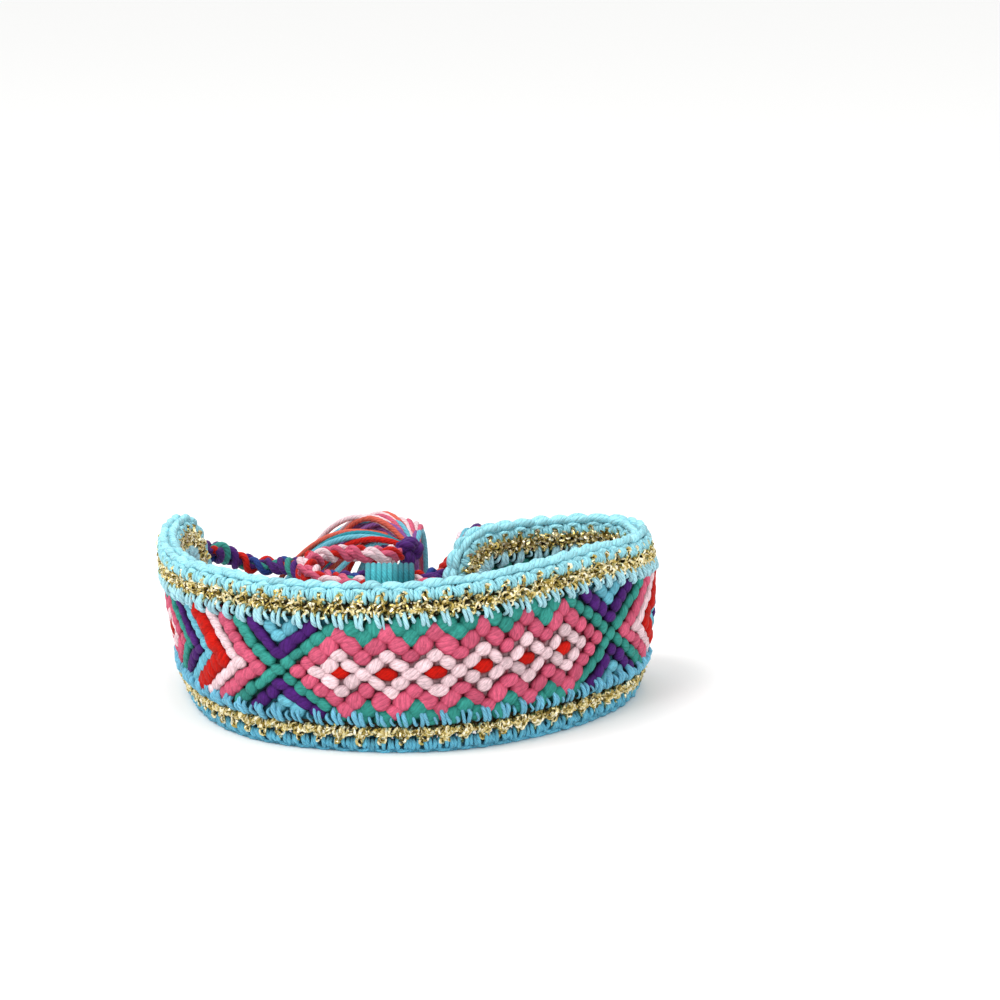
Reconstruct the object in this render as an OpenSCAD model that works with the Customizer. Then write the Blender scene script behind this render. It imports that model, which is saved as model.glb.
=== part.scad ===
// Knotted cotton bracelet: a panel of half-hitch knots framed by two crocheted
// rounds, with two braided ties, a sliding knot and a tassel on each tie.
// It stands on its lower edge, as it does by itself on a table.

/* [Band] */
// Width of the band across, both crocheted rounds included
band_w = 25; // [23:0.5:28]
// Thickness of the knotted panel
panel_t = 2.4; // [1.8:0.1:3]
// Radius of the band's four rounded corners, at the outer edge
corner_r = 8; // [7.5:0.5:10]

/* [Crocheted rounds] */
// Width of the outer round
border_w = 2.6; // [2.3:0.1:3]
// Thickness of the outer round
border_t = 2.8; // [2.2:0.1:3.2]
// Width of the metallic round
gold_w = 2.6; // [2.4:0.1:3]
// Thickness of the metallic round
gold_t = 2.2; // [1.8:0.1:2.8]
// Clearance between one round and the next
seam = 0.15; // [0.1:0.05:0.2]

/* [Ties] */
// Diameter of a braided tie
tie_d = 3.2; // [2.8:0.1:3.2]
// Distance between the two ties where they run side by side in the sliding knot
tie_pitch = 3.5; // [3.5:0.1:3.8]
// Length of the sliding knot
slider_l = 8.4; // [7:0.2:8.6]
// Number of turns wound round the ties
slider_turns = 6; // [5:1:8]
// Thickness of the wound yarn over the ties
wrap_t = 1.3; // [1:0.1:1.5]
// Diameter of the knot at the end of a tie
end_knot_d = 5.2; // [4.4:0.2:5.2]

/* [Tassels] */
// Diameter of the gathered head of a tassel
head_d = 3.4; // [3:0.2:3.6]
// Diameter of a lock of yarn at its fullest
lock_d = 3; // [2:0.2:3.2]

/* [Hidden] */

// Columns of the stations table
X = 0;
Y = 1;
LEAN = 2;
CUP = 3;
EXTRA = 4;

// The band in plan, from its left end round the front to its right end: place
// at half height, lean in degrees with the top outwards, how far the middle
// bulges out, and how much wider than band_w it is there
stations = [
    [-28.6, 56.0, 12, 0.8, 0.4],
    [-31.4, 47.0, 11, 0.9, 0.4],
    [-31.8, 37.6, 10, 1.0, 0.2],
    [-30.2, 28.5, 10, 1.3, 0.0],
    [-27.1, 19.9,  7, 1.6, 0.0],
    [-22.8, 12.9,  3, 2.2, 0.2],
    [-16.4,  6.7,  1, 2.6, 0.4],
    [ -6.8,  2.8,  1, 2.6, 0.6],
    [  4.8,  1.4,  2, 2.4, 1.0],
    [ 15.8,  4.3,  2, 2.0, 1.5],
    [ 25.9, 12.0,  0, 1.6, 1.8],
    [ 33.7, 21.1, -1, 1.6, 1.9],
    [ 39.3, 30.3,  2, 2.2, 1.1],
    [ 41.0, 40.8,  5, 2.4, 0.7],
    [ 36.1, 48.6,  7, 1.6, 0.5],
    [ 27.1, 47.2,  8, 1.0, 0.4],
    [ 18.3, 42.2,  8, 0.8, 0.3],
    [ 10.7, 35.0,  8, 0.8, 0.3],
];

// Middle of the standing band in plan, which becomes the origin
ring_mid = [3.9, 28.3];

// Points taken on each span of the plan curve, and length of one facet along the band
span_steps = 10;
facet_l = 2.6;

// Smooth curve through the rows of a table, t counted in rows
function row_at(rows, k) =
    k < 0 ? 2 * rows[0] - rows[1]
    : k >= len(rows) ? 2 * rows[len(rows) - 1] - rows[len(rows) - 2]
    : rows[k];
function spline(rows, t) =
    let (k = min(floor(t), len(rows) - 2), f = t - k,
         a = row_at(rows, k - 1), b = row_at(rows, k),
         c = row_at(rows, k + 1), d = row_at(rows, k + 2))
    (2 * b + (c - a) * f + (2 * a - 5 * b + 4 * c - d) * f * f
     + (3 * b - a - 3 * c + d) * f * f * f) / 2;

function unit(p) = p / norm(p);
function running(steps, k = 0, sum = 0) =
    k > len(steps) ? [] : concat([sum], running(steps, k + 1, sum + (k < len(steps) ? steps[k] : 0)));

spans = len(stations) - 1;
plan = [for (k = [0 : spans * span_steps]) spline(stations, k / span_steps)];
steps = [for (k = [1 : len(plan) - 1]) norm([plan[k][X] - plan[k - 1][X], plan[k][Y] - plan[k - 1][Y]])];
along = running(steps);
band_l = along[len(along) - 1];

function column(c) = [for (k = [0 : len(plan) - 1]) [along[k], plan[k][c]]];
plan_x = column(X);
plan_y = column(Y);
plan_lean = column(LEAN);
plan_cup = column(CUP);
plan_extra = column(EXTRA);
function plan_point(u) =
    u < 0 ? plan_point(0) + u * (plan_point(0.5) - plan_point(0)) * 2
    : u > band_l ? plan_point(band_l) + (u - band_l) * (plan_point(band_l) - plan_point(band_l - 0.5)) * 2
    : [lookup(u, plan_x), lookup(u, plan_y)];
function width_at(u) = band_w + lookup(u, plan_extra);

// How far the soft lower edge is pressed flat on the surface that it stands on,
// and the height at which that leaves the middle of the outer round
press = 0.25;
rest_z = border_w / 2 - press;

// A point of the bent band: u runs along it, v up across it, w out of its face.
// Across, the band is an arc that leans and bulges, and its lower edge meets z = 0
function on_band(u, v, w) =
    let (ahead = plan_point(u + 1) - plan_point(u - 1),
         out = unit([ahead[1], -ahead[0]]),
         lean = lookup(u, plan_lean),
         bend = 8 * lookup(u, plan_cup) / pow(width_at(u), 2),
         turn = lean - bend * v * 180 / PI,
         foot = lean + bend * (width_at(u) - border_w) / 2 * 180 / PI,
         side = (cos(turn) - cos(lean)) / bend + w * cos(turn),
         z = (sin(foot) - sin(turn)) / bend - w * sin(turn) + rest_z,
         p = plan_point(u) - ring_mid + out * side)
    [p[0], p[1], max(z, 0)];

// Rows of points joined into one closed solid, by rings that close on each
// other or, where the row of rings is open, by a cap at each end
function quad(a, b, c, d) = [[a, b, c], [a, c, d]];
function skin_faces(rings, n, closed) =
    concat(
        [for (i = [0 : rings - (closed ? 1 : 2)], j = [0 : n - 1])
            let (k = (i + 1) % rings, m = (j + 1) % n)
            each quad(i * n + j, i * n + m, k * n + m, k * n + j)],
        closed ? [] : [[for (j = [n - 1 : -1 : 0]) j], [for (j = [0 : n - 1]) (rings - 1) * n + j]]);
module skin(rings, closed = false) {
    polyhedron(points = [for (r = rings, p = r) p], faces = skin_faces(len(rings), len(rings[0]), closed));
}

// Outline of a round that lies `inset` inside the band's outer edge, as rows of
// u, v and the direction in which the outline faces
corner_steps = 4;
function run_u(inset, r) =
    let (n = ceil((band_l - 2 * inset - 2 * r) / facet_l))
    [for (k = [0 : n]) inset + r + k * (band_l - 2 * inset - 2 * r) / n];
function corner(u, v, r, from) =
    [for (k = [1 : corner_steps - 1])
        let (a = from - 90 * k / corner_steps) [u + r * cos(a), v + r * sin(a), cos(a), sin(a)]];
function round_path(inset) =
    let (r = corner_r - inset,
         us = run_u(inset, r),
         top = [for (u = us) [u, width_at(u) / 2 - inset, 0, 1]],
         low = [for (k = [len(us) - 1 : -1 : 0]) [us[k], inset - width_at(us[k]) / 2, 0, -1]],
         h_right = width_at(band_l) / 2 - inset - r,
         h_left = width_at(0) / 2 - inset - r)
    concat(top,
           corner(band_l - inset - r, h_right, r, 90),
           [for (v = [h_right, -h_right]) [band_l - inset, v, 1, 0]],
           corner(band_l - inset - r, -h_right, r, 0),
           low,
           corner(inset + r, -h_left, r, -90),
           [for (v = [-h_left, h_left]) [inset, v, -1, 0]],
           corner(inset + r, h_left, r, 180));

// A crocheted round: a padded strip with eight sides, all the way round the band
section_sides = 8;
module crochet_round(inset, wide, thick) {
    skin([for (q = round_path(inset))
        [for (k = [0 : section_sides - 1])
            let (a = 360 * (k + 0.5) / section_sides,
                 fit = 1 / cos(180 / section_sides),
                 s = wide / 2 * fit * cos(a))
            on_band(q[0] + s * q[2], q[1] + s * q[3], thick / 2 * fit * sin(a))]], closed = true);
}

module crochet_border() {
    color("skyblue") crochet_round(border_w / 2, border_w, border_t);
}

module gold_round() {
    color("goldenrod") crochet_round(border_w + seam + gold_w / 2, gold_w, gold_t);
}

// The knotted panel: a padded sheet with rounded corners, inside both rounds
panel_inset = border_w + gold_w + 3 * seam;
panel_r = corner_r - panel_inset;
face_steps = 6;
module knotted_panel() {
    first = panel_inset;
    last = band_l - panel_inset;
    n = ceil((last - first - 2 * panel_r) / facet_l);
    us = concat(
        [for (k = [0 : 2]) first + panel_r * (1 - cos(30 * k))],
        [for (k = [0 : n]) first + panel_r + k * (last - first - 2 * panel_r) / n],
        [for (k = [2 : -1 : 0]) last - panel_r * (1 - cos(30 * k))]);
    color("palevioletred") skin([for (u = us)
        let (near = min(u - first, last - u),
             dip = near < panel_r ? panel_r - sqrt(panel_r * panel_r - pow(panel_r - near, 2)) : 0,
             high = width_at(u) / 2 - panel_inset - dip)
        concat(
            [for (k = [0 : face_steps]) on_band(u, high * (2 * k / face_steps - 1), face_w(k))],
            [for (k = [face_steps : -1 : 0]) on_band(u, high * (2 * k / face_steps - 1), -face_w(k))])]);
}

// Half thickness of the panel across its face: thinner along both edges
edge_share = 0.6;
function face_w(k) = panel_t / 2 * (k == 0 || k == face_steps ? edge_share : 1);

// Where the sliding knot sits, and where the two ties run through it
slider_at = [1.4, 34.9, 17.4];
left_run_y = slider_at[1] + tie_pitch / 2;
right_run_y = slider_at[1] - tie_pitch / 2;

// Routes of the two ties, from the band's end through the sliding knot
left_route = [
    [-28.4, 56.4, 17.0], [-27.4, 59.2, 16.6], [-25.4, 61.8, 15.0], [-22.6, 63.2, 13.6],
    [-19.4, 63.0, 13.4], [-16.8, 61.2, 13.9], [-15.0, 58.4, 14.4], [-13.6, 55.0, 14.5],
    [-12.2, 51.2, 14.5], [-10.8, 47.4, 14.9], [-9.7, 43.4, 15.8], [-8.8, 40.0, 16.8],
    [-6.5, 37.6, 17.2], [-3.2, left_run_y, 17.4], [1.4, left_run_y, 17.4],
    [5.8, left_run_y, 17.4], [7.8, 37.6, 17.5], [9.2, 39.4, 17.6],
];
right_route = [
    [10.2, 34.5, 16.0], [8.2, 33.5, 16.7], [5.8, right_run_y, 17.3], [1.4, right_run_y, 17.4],
    [-3.0, right_run_y, 17.4], [-6.0, 33.4, 17.6], [-8.8, 34.6, 18.0], [-11.0, 37.0, 18.4],
    [-11.8, 40.2, 18.8], [-10.9, 43.4, 19.2], [-8.6, 45.8, 19.4], [-5.4, 46.9, 19.3],
    [-2.2, 47.0, 19.0], [0.4, 48.0, 18.8], [2.0, 49.9, 18.6],
];

// A round cord along a route, with a ring of points at each of its points
tie_sides = 8;
function ring_at(route, k, d, sides) =
    let (n = len(route),
         ahead = unit(route[min(k + 1, n - 1)] - route[max(k - 1, 0)]),
         side = unit(cross([0, 0, 1], ahead)),
         up = cross(ahead, side))
    [for (j = [0 : sides - 1])
        route[k] + d / 2 * (side * cos(360 * j / sides) - up * sin(360 * j / sides))];
module cord(route) {
    translate([-ring_mid[0], -ring_mid[1], 0])
        skin([for (k = [0 : len(route) - 1]) ring_at(route, k, tie_d, tie_sides)]);
}

module left_tie() {
    color("mediumpurple") cord(left_route);
}

module right_tie() {
    color("lightpink") cord(right_route);
}

// The sliding knot: yarn wound in turns round both ties, on a slot that they run through
bore_d = tie_d + 0.2;

// Wall left between two turns as a share of wrap_t, and width of a turn as a
// share of its pitch
valley_share = 0.75;
turn_share = 0.7;
module flat_disc(r, l) {
    rotate([90, 0, 90]) linear_extrude(l, center = true) {
        square([tie_pitch, 2 * r], center = true);
        for (side = [-1, 1]) translate([side * tie_pitch / 2, 0]) circle(r, $fn = 32);
    }
}
module sliding_knot() {
    turn_l = slider_l / slider_turns;
    color("darkcyan") translate(slider_at - [ring_mid[0], ring_mid[1], 0]) difference() {
        union() {
            flat_disc(bore_d / 2 + wrap_t * valley_share, slider_l - turn_l / 2);
            for (k = [0 : slider_turns - 1])
                translate([(k + 0.5) * turn_l - slider_l / 2, 0, 0])
                    flat_disc(bore_d / 2 + wrap_t, turn_l * turn_share);
        }
        flat_disc(bore_d / 2, slider_l + 2);
    }
}

// A point beyond the end of a route, in line with its last stretch
function beyond(route, reach) =
    let (n = len(route)) route[n - 1] + unit(route[n - 1] - route[n - 2]) * reach;
function knot_at(route) = beyond(route, end_knot_d / 2 + seam);
function head_at(route) = beyond(route, end_knot_d + head_d / 2 + 3 * seam);

// The knot at the end of a tie: a ball of yarn with two turns round it
turn_tilts = [50, 130];
turn_d = end_knot_d * 0.36;
ball_d = end_knot_d * 0.88;
module end_knot(route) {
    translate(knot_at(route) - [ring_mid[0], ring_mid[1], 0]) {
        sphere(d = ball_d, $fn = 32);
        for (tilt = turn_tilts) rotate([0, tilt, 0]) rotate_extrude($fn = 32)
            translate([(end_knot_d - turn_d) / 2, 0]) circle(d = turn_d, $fn = 16);
    }
}

module left_end_knot() {
    color("firebrick") end_knot(left_route);
}

module right_end_knot() {
    color("indigo") end_knot(right_route);
}

// Columns of a tassel's locks: the way it falls in degrees, how far out its tip
// lies and how high it arches above the head before it comes down
left_locks = [
    [88, 14, 8],
    [80, 16, 5],
    [72, 13, 9],
    [64, 16, 4],
    [57, 14, 7],
    [50, 17, 4],
];
right_locks = [
    [174, 29, 4],
    [165, 33, 5],
    [156, 28, 8],
    [147, 31, 6],
    [138, 25, 8],
    [129, 24, 5],
    [119, 19, 7],
    [108, 17, 4],
    [ 98, 14, 6],
];

lock_steps = 8;
lock_sides = 6;

// Shape of every lock, as shares of its reach, of its rise and of lock_d
start_share = 0.4;
foot_share = 0.8;
arch_share = 2.2;
root_share = 0.6;
tip_share = 0.4;
function bezier(a, b, c, d, t) =
    a * pow(1 - t, 3) + 3 * b * t * pow(1 - t, 2) + 3 * c * t * t * (1 - t) + d * pow(t, 3);
function lock_route(head, row) =
    let (away = [cos(row[0]), sin(row[0]), 0] * row[1],
         floor_z = lock_d * tip_share / 2,
         foot = [head[0], head[1], floor_z])
    [for (k = [0 : lock_steps])
        bezier(head, head + away * start_share + [0, 0, row[2] * arch_share],
               foot + away * foot_share, foot + away, k / lock_steps)];
function lock_width(t) = lock_d * (t < 0.5 ? root_share + 2 * (1 - root_share) * t
                                   : 1 - 2 * (1 - tip_share) * (t - 0.5));

module tassel(head, locks) {
    translate([-ring_mid[0], -ring_mid[1], 0]) union() {
        translate(head) sphere(d = head_d, $fn = 12);
        for (row = locks) {
            route = lock_route(head, row);
            skin([for (k = [0 : lock_steps]) ring_at(route, k, lock_width(k / lock_steps), lock_sides)]);
        }
    }
}

module left_tassel() {
    color("mediumpurple") tassel(head_at(left_route), left_locks);
}

module right_tassel() {
    color("salmon") tassel(head_at(right_route), right_locks);
}

knotted_panel();
gold_round();
crochet_border();
left_tie();
right_tie();
sliding_knot();
left_end_knot();
right_end_knot();
left_tassel();
right_tassel();
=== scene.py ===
# %% [markdown]
# This lesson dresses a knotted cotton bracelet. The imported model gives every
# piece its place and size, and nothing there is moved. Each plain solid is
# replaced by the yarn that the real piece is made of: knots, crochet
# stitches, metallic loops, plaits and loose strands.

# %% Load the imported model
import math

import bpy
import numpy as np
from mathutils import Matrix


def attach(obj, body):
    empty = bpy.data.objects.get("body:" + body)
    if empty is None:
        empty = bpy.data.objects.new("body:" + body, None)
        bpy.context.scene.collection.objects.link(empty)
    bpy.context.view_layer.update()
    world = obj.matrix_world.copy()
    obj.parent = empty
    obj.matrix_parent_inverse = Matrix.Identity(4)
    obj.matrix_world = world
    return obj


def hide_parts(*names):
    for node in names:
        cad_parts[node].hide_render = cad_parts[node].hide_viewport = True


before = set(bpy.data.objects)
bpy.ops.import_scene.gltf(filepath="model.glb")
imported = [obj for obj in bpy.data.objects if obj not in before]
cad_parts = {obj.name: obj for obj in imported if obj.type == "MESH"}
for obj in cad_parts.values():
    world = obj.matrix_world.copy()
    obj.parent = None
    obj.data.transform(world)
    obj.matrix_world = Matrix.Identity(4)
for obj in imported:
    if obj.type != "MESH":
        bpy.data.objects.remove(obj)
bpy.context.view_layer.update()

# the frame is in metres, and the measures below are in mm
MM = 0.001
# every random choice comes from this one source, so the bracelet is always the same
chance = np.random.default_rng(8)


# %% [markdown]
# The camera comes first, because the cords are judged against what it sees.
# The photograph looks down on the band by about 12 degrees from half a metre
# away. A long lens keeps the upright edges nearly parallel, as they are there.

# %% Camera at the photograph's angle
# place in mm, angle below level in degrees, focal length in widths of the sensor
CAMERA_AT = (14.4, -464.9, 133.9)
CAMERA_PITCH = 12.37
FOCAL_SHARE = 3.15
SENSOR = 36.0

camera = bpy.data.objects.new("camera", bpy.data.cameras.new("camera"))
camera.data.sensor_width = SENSOR
camera.data.lens = FOCAL_SHARE * SENSOR
camera.location = [c * MM for c in CAMERA_AT]
camera.rotation_euler = (math.radians(90 - CAMERA_PITCH), 0, 0)
bpy.context.scene.collection.objects.link(camera)
bpy.context.scene.camera = camera
print("lens, mm:", round(camera.data.lens, 1))


# %% [markdown]
# Three small helpers serve every material. Colours are written as the sRGB hex
# values that a picture editor shows, and Blender's shaders work in linear light,
# so one function turns the one into the other. Another adds a node with its
# settings and links in one call, which keeps a node tree readable as text. The
# third starts a material whose node tree is empty.

# %% Colours and nodes
def linear(code):
    """sRGB hex to linear light."""
    parts = [int(code[k:k + 2], 16) / 255 for k in (1, 3, 5)]
    return [c / 12.92 if c <= 0.04045 else ((c + 0.055) / 1.055) ** 2.4 for c in parts]


def add(tree, kind, links=None, **settings):
    """Adds a node with its settings, and sets or links its sockets."""
    made = tree.nodes.new(kind)
    for key, value in settings.items():
        setattr(made, key, value)
    for socket, value in (links or {}).items():
        if isinstance(value, bpy.types.NodeSocket):
            tree.links.new(value, made.inputs[socket])
        else:
            made.inputs[socket].default_value = value
    return made


def new_material(name):
    """An empty material and its node tree."""
    material = bpy.data.materials.new(name)
    material.use_nodes = True
    material.node_tree.nodes.clear()
    return material, material.node_tree


print("pure white in linear light:", linear("#FFFFFF"))


# %% [markdown]
# The table is one large pale plane, a hair under the model so that the two
# never share a face. It is matt white paper: rough, so it mirrors nothing and
# only takes the shadow.

# %% Table
# both in metres
FLOOR_SIZE = 12.0
FLOOR_DROP = 0.00002

floor = bpy.data.objects.new("floor", bpy.data.meshes.new("floor"))
half = FLOOR_SIZE / 2
floor.data.from_pydata([(-half, -half, -FLOOR_DROP), (half, -half, -FLOOR_DROP),
                        (half, half, -FLOOR_DROP), (-half, half, -FLOOR_DROP)], [], [(0, 1, 2, 3)])
bpy.context.scene.collection.objects.link(floor)
paper, tree = new_material("matt_white_paper")
shader = add(tree, "ShaderNodeBsdfPrincipled", {
    "Base Color": (*linear("#F4F4F3"), 1), "Roughness": 0.9, "Specular IOR Level": 0.2})
add(tree, "ShaderNodeOutputMaterial", {"Surface": shader.outputs["BSDF"]})
floor.data.materials.append(paper)
print("table, m:", FLOOR_SIZE)


# %% [markdown]
# The light is a bright even room, brighter towards the ceiling, with one broad
# lamp above on the left. It gives the faint soft shadow that a product picture
# has, and a weaker lamp in front lights the side that faces the camera.

# %% Room and lamps
# brightness at the horizon and straight above
ROOM_GLOW = (0.35, 1.4)

world = bpy.data.worlds.new("bright_room")
world.use_nodes = True
direction = add(world.node_tree, "ShaderNodeTexCoord")
height = add(world.node_tree, "ShaderNodeSeparateXYZ", {0: direction.outputs["Generated"]})
glow = add(world.node_tree, "ShaderNodeMapRange", {
    "Value": height.outputs["Z"], "From Min": 0.0, "From Max": 1.0,
    "To Min": ROOM_GLOW[0], "To Max": ROOM_GLOW[1]})
world.node_tree.links.new(glow.outputs[0], world.node_tree.nodes["Background"].inputs["Strength"])
world.node_tree.nodes["Background"].inputs["Color"].default_value = (*linear("#FFFFFF"), 1)
bpy.context.scene.world = world

# name, place in metres, size in metres, watts
LAMPS = [
    ("broad_lamp", (-0.35, -0.25, 0.75), 0.4, 3.6),
    ("front_lamp", (0.45, -0.85, 0.45), 0.6, 0.8),
]
for name, place, size, watts in LAMPS:
    lamp = bpy.data.lights.new(name, "AREA")
    lamp.size = size
    lamp.energy = watts
    holder = bpy.data.objects.new(name, lamp)
    holder.location = place
    aim = -np.array(place) / np.linalg.norm(place)
    holder.rotation_euler = (math.acos(-aim[2]), 0, math.atan2(aim[1], aim[0]) - math.pi / 2)
    bpy.context.scene.collection.objects.link(holder)
bpy.context.scene.view_settings.view_transform = "Standard"
print("lamps:", [lamp[0] for lamp in LAMPS])


# %% [markdown]
# Almost everything here is yarn, so one helper makes all of it: it sweeps many
# paths at once into closed tubes. A curve object with a bevel could do this,
# but arrays are faster for thousands of short loops, and they let each tube
# carry two attributes. The first, lay, holds for each face corner how far along
# the yarn it is in mm, how far round, and a random number for the strand. The
# second, dye, is the strand's colour, with painted shade added in places.

# %% Directions and smooth curves
def unit(vectors):
    """The same directions with length 1."""
    return vectors / np.maximum(np.linalg.norm(vectors, axis=-1, keepdims=True), 1e-9)


def smooth_rows(rows, per_span):
    """Points on a smooth curve through the rows of a table."""
    rows = np.asarray(rows, float)
    padded = np.vstack([2 * rows[:1] - rows[1:2], rows, 2 * rows[-1:] - rows[-2:-1]])
    t = np.linspace(0, len(rows) - 1, per_span * (len(rows) - 1) + 1)
    k = np.minimum(t.astype(int), len(rows) - 2)
    f = (t - k).reshape(-1, *([1] * (rows.ndim - 1)))
    a, b, c, d = (padded[k + shift] for shift in range(4))
    return (2 * b + (c - a) * f + (2 * a - 5 * b + 4 * c - d) * f ** 2
            + (3 * b - a - 3 * c + d) * f ** 3) / 2


print("points on a curve through 3 places, 4 to a span:", len(smooth_rows([[0], [1], [0]], 4)))


# %% Swept yarn
def tubes(paths, radii, sides, dye, up=(0, 0, 1), flat=1.0, closed=False, end_shade=0.0):
    """Sweeps each path of an array (strands, rings, 3), in mm, into a closed tube.
    up is the way the flattened side of its section faces at the start, flat the
    section's thickness as a share of its width, closed joins each path's end to
    its start, and end_shade is how much darker the colour is painted at both ends,
    as painted shade where the yarn dives out of sight."""
    paths = np.asarray(paths, float)
    strands, rings = paths.shape[:2]
    # the section's direction is carried along each path, so it never twists
    if closed:
        ahead = unit(np.roll(paths, -1, 1) - np.roll(paths, 1, 1))
    else:
        ahead = unit(np.gradient(paths, axis=1))
    normal = np.empty_like(ahead)
    facing = np.broadcast_to(np.asarray(up, float), (strands, 3))
    for ring in range(rings):
        facing = unit(facing - (facing * ahead[:, ring]).sum(-1, keepdims=True) * ahead[:, ring])
        normal[:, ring] = facing
    across = np.cross(ahead, normal)
    angle = np.arange(sides) * 2 * np.pi / sides
    radii = np.broadcast_to(radii, (strands, rings))[:, :, None, None]
    points = paths[:, :, None] + radii * (flat * np.cos(angle)[:, None] * normal[:, :, None]
                                          + np.sin(angle)[:, None] * across[:, :, None])

    # a four-cornered face lies between each two rings and each two sides
    ring, side = np.meshgrid(np.arange(rings if closed else rings - 1), np.arange(sides), indexing="ij")
    ring_b = (ring + 1) % rings
    side_b = (side + 1) % sides
    corners = np.stack([ring * sides + side, ring * sides + side_b,
                        ring_b * sides + side_b, ring_b * sides + side], -1).reshape(-1, 4)
    offsets = (np.arange(strands) * rings * sides)[:, None, None]
    quads = (corners + offsets).reshape(-1, 4)

    # where each face corner lies on its yarn
    steps = np.linalg.norm(np.diff(paths, axis=1, append=paths[:, :1]), axis=-1)
    length = np.concatenate([np.zeros((strands, 1)), np.cumsum(steps, 1)], 1)
    turn = np.stack([side, side + 1, side + 1, side], -1).reshape(-1, 4) / sides
    at = np.stack([ring, ring, ring + 1, ring + 1], -1).reshape(-1, 4)
    mark = chance.random(strands)
    lay = np.stack([length[:, at], np.broadcast_to(turn, (strands, *turn.shape)),
                    np.broadcast_to(mark[:, None, None], (strands, *turn.shape))], -1).reshape(-1, 3)
    faces = quads.tolist()
    # flat lids close the tips
    if not closed:
        first = np.arange(sides)[::-1] + offsets[:, :, 0]
        last = np.arange(sides) + (rings - 1) * sides + offsets[:, :, 0]
        faces += first.tolist() + last.tolist()
        ends = np.stack([np.concatenate([np.zeros(strands), length[:, rings - 1]]),
                         np.zeros(2 * strands), np.tile(mark, 2)], -1)
        lay = np.concatenate([lay, np.repeat(ends, sides, 0)])

    # one dye for a batch, for each strand, or for each ring
    dye = np.asarray(dye, float)
    if dye.ndim == 2:
        dye = dye[:, None, None]
    elif dye.ndim == 3:
        dye = dye[:, :, None]
    # painted shade at both ends, where the yarn dives out of sight
    if end_shade:
        share = np.linspace(-1, 1, rings)[None, :, None, None]
        dye = dye * (1 - end_shade * share ** 4)
    return points.reshape(-1, 3), faces, lay, np.broadcast_to(dye, points.shape).reshape(-1, 3)


# %% [markdown]
# Yarns that belong together become one object, which is lighter than an object
# for each yarn. The two attributes are stored on the mesh, where the material
# reads them. Each object is then told which body carries it and which plain
# solids it takes the place of. No yarn runs through the table: what would is
# pressed flat on it.

# %% Joining swept yarn into a piece
def piece(name, batches, material, slot, *nodes, smooth=True):
    """One object from batches of yarn, pressed flat where it meets the table."""
    start = 0
    faces = []
    for points, batch_faces, lay, dye in batches:
        points[:, 2] = np.maximum(points[:, 2], 0)
        faces += [[corner + start for corner in face] for face in batch_faces] if start else batch_faces
        start += len(points)
    mesh = bpy.data.meshes.new(name)
    mesh.from_pydata((np.concatenate([b[0] for b in batches]) * MM).tolist(), [], faces)
    lay = mesh.attributes.new("lay", "FLOAT_VECTOR", "CORNER")
    lay.data.foreach_set("vector", np.concatenate([b[2] for b in batches]).ravel())
    colours = np.concatenate([b[3] for b in batches])
    dye = mesh.attributes.new("dye", "FLOAT_COLOR", "POINT")
    dye.data.foreach_set("color", np.column_stack([colours, np.ones(len(colours))]).ravel())
    if smooth:
        mesh.shade_smooth()
    mesh.materials.append(material)
    made = bpy.data.objects.new(name, mesh)
    bpy.context.scene.collection.objects.link(made)
    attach(made, "root")
    if nodes:
        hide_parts(*nodes)
    print(name, "triangles:", sum(len(face) - 2 for face in faces))
    return made


# %% [markdown]
# The yarn is mercerised cotton floss. Its dye is strong, its surface is matt
# with a soft sheen along the edges, and up close it is a loose twist of several
# plies. The twist is drawn from the lay attribute: one helix for the plies and
# a fine streaky noise, stretched along that helix, for the fibres. A real ply is
# 0.2 mm thick and a fibre 0.02 mm, which is too fine to show, so plies are drawn
# 0.4 to 1 mm wide and the fibres as streaks of 0.1 to 0.5 mm. The valleys between
# plies are darker, because cotton shades itself there.

# %% Dyes
PALETTE = {
    "pink": "#D25B78", "blush": "#EECED4", "red": "#C21002", "purple": "#4B1D6E",
    "teal": "#369488", "sky": "#6CBACE", "rim": "#9CE0EC",
    "sea": "#1F8C9C", "turquoise": "#46B6C2", "ink": "#233E86",
    "salmon": "#D8604E", "lilac": "#8A5498", "frost": "#AADFEB",
}
DYES = {name: np.array(linear(code)) for name, code in PALETTE.items()}
print("dyes:", len(DYES))


# %% Cotton floss
# how long and how thin the fibres' noise is drawn, along, round and across strands
FIBRE_STRETCH = (0.9, 9.0, 1.0)
# steps apart in the noise, so that no two strands show the same fibres
STRAND_STEP = 57.0


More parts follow.
